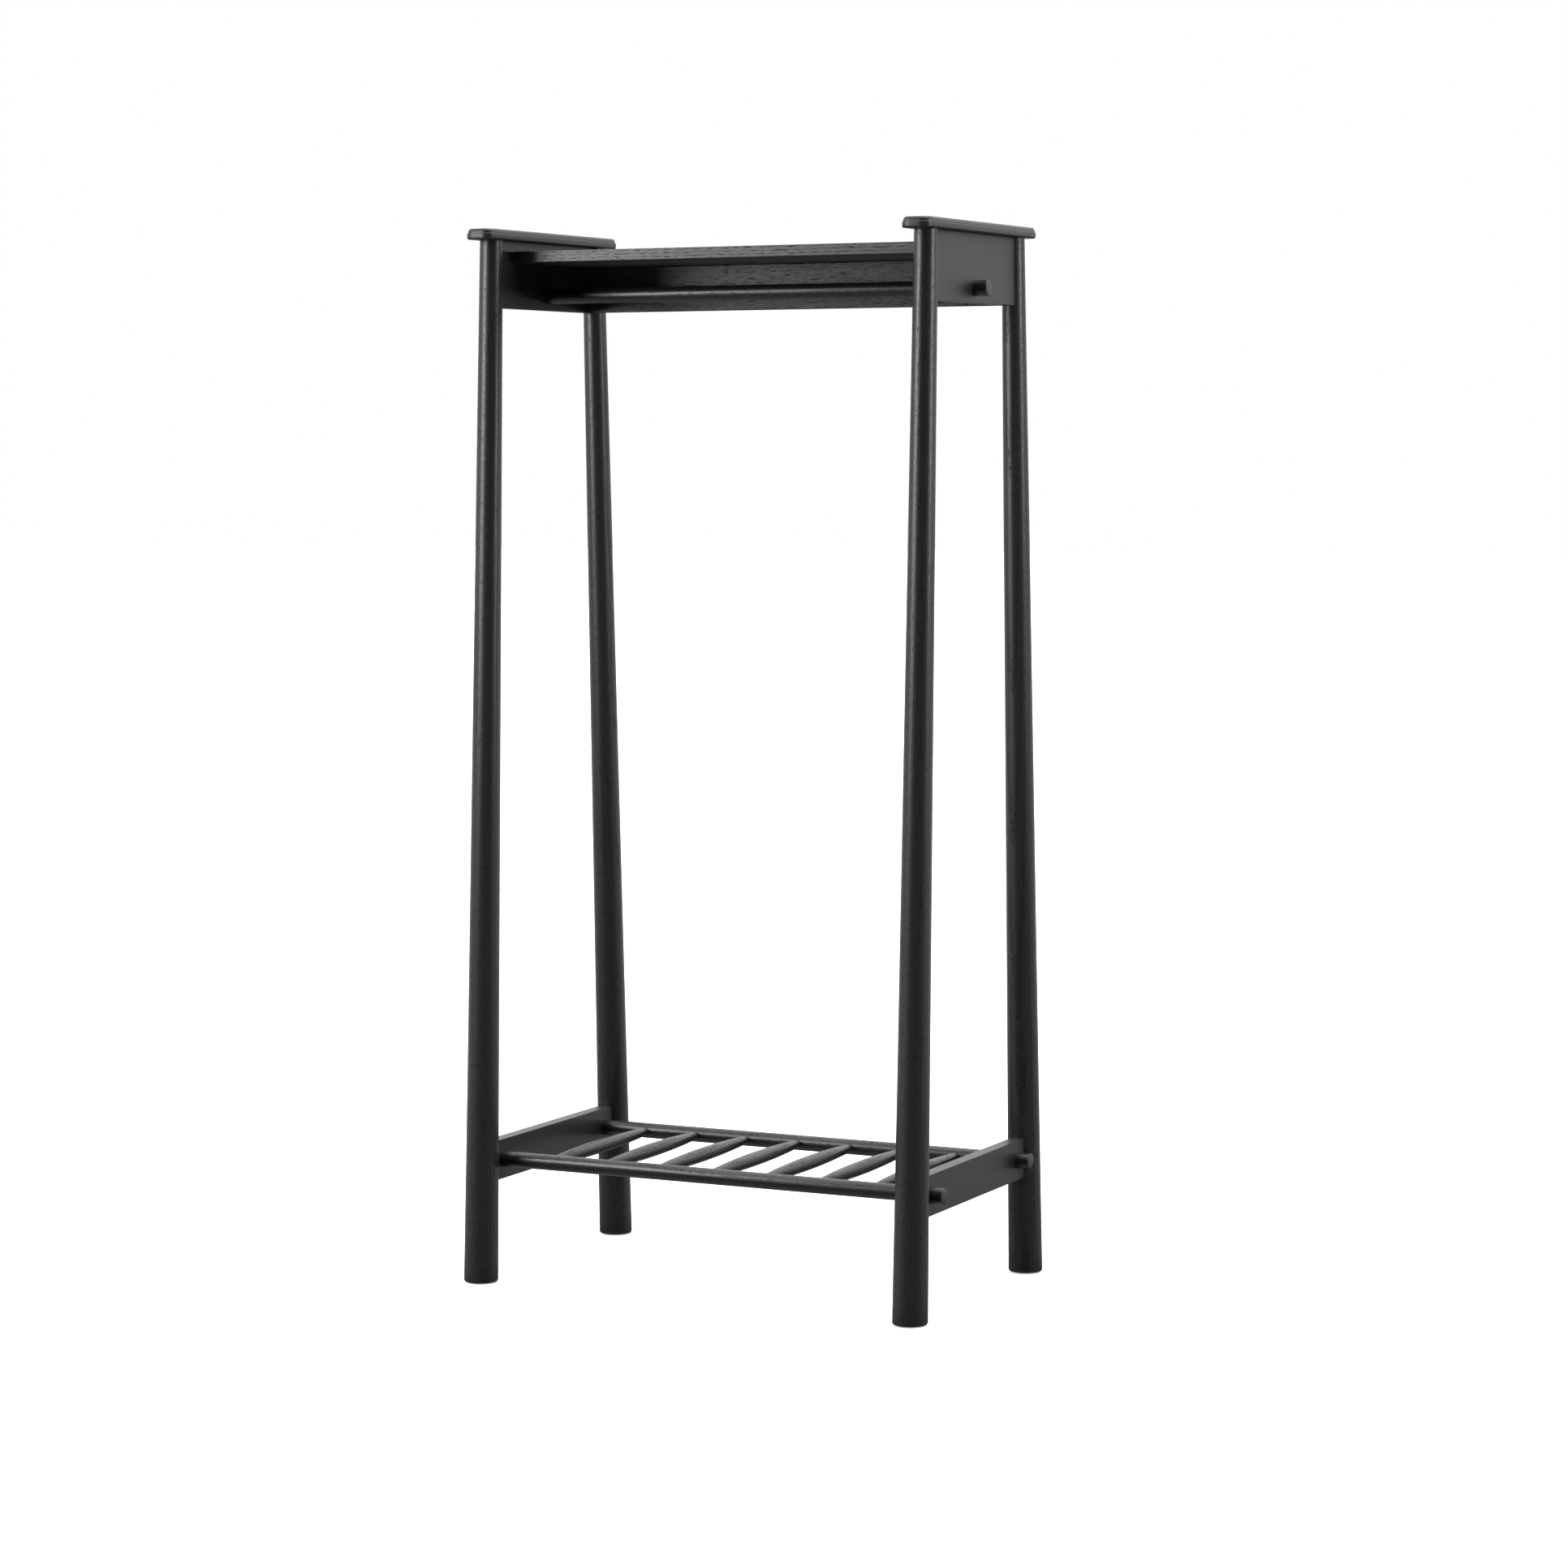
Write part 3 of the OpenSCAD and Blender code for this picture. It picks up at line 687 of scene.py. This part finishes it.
def slatTree():
    floats = ("Pitch", "First X", "Height", "Half Length", "Mid Radius", "End Radius", "Rod Face")
    tree, given = startTree("slatRow", floats, ("Count", "Rings", "Sides"))
    index = addNode(tree, "GeometryNodeInputIndex").outputs[0]
    share = addMath(tree, "DIVIDE", index, addMath(tree, "SUBTRACT", given["Rings"], 1.0))
    along = addMath(tree, "MULTIPLY", addMath(tree, "MULTIPLY_ADD", share, 2.0, -1.0), given["Half Length"])
    line = addNode(tree, "GeometryNodeMeshLine", {"Offset": (0, 0.001, 0)}, {"Count": given["Rings"]})
    point = addNode(tree, "ShaderNodeCombineXYZ", None, {"Y": along})
    placed = addNode(tree, "GeometryNodeSetPosition", None,
                     {"Geometry": line.outputs[0], "Position": point.outputs[0]})
    curve = addNode(tree, "GeometryNodeMeshToCurve", None, {"Mesh": placed.outputs[0]})

    # the radius falls with the square of the distance from the middle
    toFace = addMath(tree, "DIVIDE", along, given["Rod Face"])
    square = addMath(tree, "MULTIPLY", toFace, toFace)
    loss = addMath(tree, "SUBTRACT", given["End Radius"], given["Mid Radius"])
    radius = addMath(tree, "MULTIPLY_ADD", square, loss, given["Mid Radius"])
    circle = addNode(tree, "GeometryNodeCurvePrimitiveCircle", {"Radius": 1.0}, {"Resolution": given["Sides"]})
    slat = addNode(tree, "GeometryNodeCurveToMesh", {"Fill Caps": True},
                   {"Curve": curve.outputs[0], "Profile Curve": circle.outputs[0], "Scale": radius})

    start = addNode(tree, "ShaderNodeCombineXYZ", None, {"X": given["First X"], "Z": given["Height"]})
    step = addNode(tree, "ShaderNodeCombineXYZ", None, {"X": given["Pitch"]})
    row = addNode(tree, "GeometryNodeMeshLine", None,
                  {"Count": given["Count"], "Start Location": start.outputs[0], "Offset": step.outputs[0]})
    copies = addNode(tree, "GeometryNodeInstanceOnPoints", None,
                     {"Points": row.outputs[0], "Instance": slat.outputs[0]})
    endTree(tree, copies.outputs[0], given)
    return tree


rodFrontLow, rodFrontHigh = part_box("rack_rod_front")
lastLow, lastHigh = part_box(slatNames[-1])
firstX = (slatLow.x + slatHigh.x) / 2
slatPitch = ((lastLow.x + lastHigh.x) / 2 - firstX) / (len(slatNames) - 1)
slatZ = (slatLow.z + slatHigh.z) / 2
rodFace = -rodFrontHigh.y
mesh = meshFromTree(slatTree(), {
    "Pitch": slatPitch, "First X": firstX, "Height": slatZ, "Half Length": rodFace + slatSettings["intoRod"],
    "Mid Radius": (slatHigh.z - slatLow.z) / 2, "End Radius": slatEndRadius, "Rod Face": rodFace,
    "Count": len(slatNames), "Rings": slatSettings["rings"], "Sides": slatSettings["sides"], "Material": turnedAsh,
})
writeGrain(mesh, (0, 1, 0), (0, 0, 1), (0.045, 0.03), 71,
           [(firstX + slatPitch * k, 0, slatZ) for k in range(len(slatNames))],
           lambda co: round((co.x - firstX) / slatPitch))
addPiece("turned.slats", mesh, turnedAsh, slatNames)
print("slats done")


# ---- floor, light and camera ----

floorSize = 40.0
floorMesh = boxMesh("floor", (-floorSize, -floorSize, -0.02), (floorSize, floorSize, 0.0))
floor = bpy.data.objects.new("floor", floorMesh)
scene.collection.objects.link(floor)
floorMaterial = bpy.data.materials.new("paleFloor")
floorMaterial.use_nodes = True
floorShader = floorMaterial.node_tree.nodes["Principled BSDF"]
floorShader.inputs["Base Color"].default_value = linear("#f4f4f4")
floorShader.inputs["Roughness"].default_value = 0.9
floorShader.inputs["Specular IOR Level"].default_value = 0.1
floorShader.inputs["Emission Color"].default_value = linear("#ffffff")
floorShader.inputs["Emission Strength"].default_value = 0.35   # overexposed, as a lit white sweep is
floor.visible_glossy = False      # the stand reflects the studio, not this floor
floor.visible_diffuse = False
floorMesh.materials.append(floorMaterial)

lightSettings = {
    "backdrop": 1.0,       # what the camera sees behind the stand
    "behind": 0.9,         # the studio's white walls behind and beside it
    "front": 0.03,         # the darker room on the camera's side
    "ceiling": 0.7,        # the white ceiling over it
    "high": 1.8,           # the walls are brighter higher up
    "sweep": 1.0,          # the lit stretch of floor some way off
    "underneath": 0.4,     # the floor close by
    "rightPanel": 48.0,
    "leftPanel": 100.0,
    "top": 95.0,
}


def studioWorld():
    world = bpy.data.worlds.new("studio")
    world.use_nodes = True
    tree = world.node_tree
    tree.nodes.clear()
    out = addNode(tree, "ShaderNodeOutputWorld")
    direction = addNode(tree, "ShaderNodeTexCoord").outputs["Generated"]
    upward = addNode(tree, "ShaderNodeSeparateXYZ", None, {0: direction}).outputs["Z"]

    def band(value, start, end, low, high):
        return addNode(tree, "ShaderNodeMapRange",
                       {"interpolation_type": "SMOOTHSTEP", 1: start, 2: end, 3: low, 4: high}, {0: value}).outputs[0]

    towardsBack = addNode(tree, "ShaderNodeVectorMath", {"operation": "DOT_PRODUCT", 1: (-0.44, 0.90, 0.0)},
                          {0: direction}).outputs["Value"]
    walls = band(towardsBack, -0.62, 0.05, lightSettings["front"], lightSettings["behind"])
    wallsDown = addMath(tree, "MULTIPLY", walls, band(upward, -0.22, 0.07, 0.04, 1.0))
    wallsUp = addMath(tree, "MULTIPLY", wallsDown, band(upward, 0.04, 0.30, 1.0, lightSettings["high"]))
    nearFloor = band(upward, -0.35, -0.65, 0.0, lightSettings["underneath"])
    ceiling = band(upward, 0.45, 0.85, 0.0, lightSettings["ceiling"])
    sweepLow = band(upward, -0.20, -0.13, 0.0, lightSettings["sweep"])
    sweepHigh = band(upward, -0.11, -0.03, 1.0, 0.0)
    floorInFront = addMath(tree, "MULTIPLY", sweepLow, sweepHigh)
    above = addMath(tree, "ADD", wallsUp, ceiling)
    level = addMath(tree, "ADD", above, addMath(tree, "ADD", nearFloor, floorInFront))
    seen = addNode(tree, "ShaderNodeBackground", {"Color": linear("#ffffff"), "Strength": lightSettings["backdrop"]})
    lit = addNode(tree, "ShaderNodeBackground", {"Color": linear("#fdfcff")}, {"Strength": level})
    path = addNode(tree, "ShaderNodeLightPath")
    mix = addNode(tree, "ShaderNodeMixShader", None,
                  {0: path.outputs["Is Camera Ray"], 1: lit.outputs[0], 2: seen.outputs[0]})
    tree.links.new(mix.outputs[0], out.inputs[0])
    scene.world = world


def areaLight(name, place, aim, size, power):
    data = bpy.data.lights.new(name, "AREA")
    data.shape = "RECTANGLE"
    data.size, data.size_y = size
    data.energy = power
    data.color = (0.97, 0.955, 1.0)
    lamp = bpy.data.objects.new(name, data)
    lamp.location = place
    lamp.rotation_euler = (Vector(aim) - Vector(place)).to_track_quat("-Z", "Y").to_euler()
    lamp.visible_camera = False
    scene.collection.objects.link(lamp)


studioWorld()
areaLight("softRight", (3.6, 0.3, 2.1), (0, 0, 1.4), (0.9, 1.9), lightSettings["rightPanel"])
areaLight("softLeft", (-2.17, -2.87, 2.1), (0, 0, 1.4), (1.6, 1.9), lightSettings["leftPanel"])
areaLight("softTop", (0.6, 0.4, 4.2), (0, 0, 0.6), (2.4, 2.4), lightSettings["top"])

cameraSettings = {
    "place": (2.98162, -5.948126, 1.362592),
    "turn": 26.194,        # degrees from the -Y side towards +X
    "pitch": -4.438,
    "roll": -0.142,
    "lens": 94.70,
    "shiftY": -0.0155,
}


def addCamera():
    c = cameraSettings
    turn, pitch, roll = (math.radians(c[key]) for key in ("turn", "pitch", "roll"))
    forward = Vector((-math.sin(turn) * math.cos(pitch), math.cos(turn) * math.cos(pitch), math.sin(pitch)))
    right = Vector((math.cos(turn), math.sin(turn), 0))
    up = right.cross(forward)
    rightRolled = right * math.cos(roll) + up * math.sin(roll)
    upRolled = up * math.cos(roll) - right * math.sin(roll)
    data = bpy.data.cameras.new("camera")
    data.sensor_width = 36
    data.lens = c["lens"]
    data.shift_y = c["shiftY"]
    data.clip_end = 200
    camera = bpy.data.objects.new("camera", data)
    axes = Matrix((rightRolled, upRolled, -forward)).transposed().to_4x4()
    camera.matrix_world = Matrix.Translation(c["place"]) @ axes
    scene.collection.objects.link(camera)
    scene.camera = camera


addCamera()
scene.view_settings.view_transform = "Standard"
scene.view_settings.look = "None"
print("stage done")
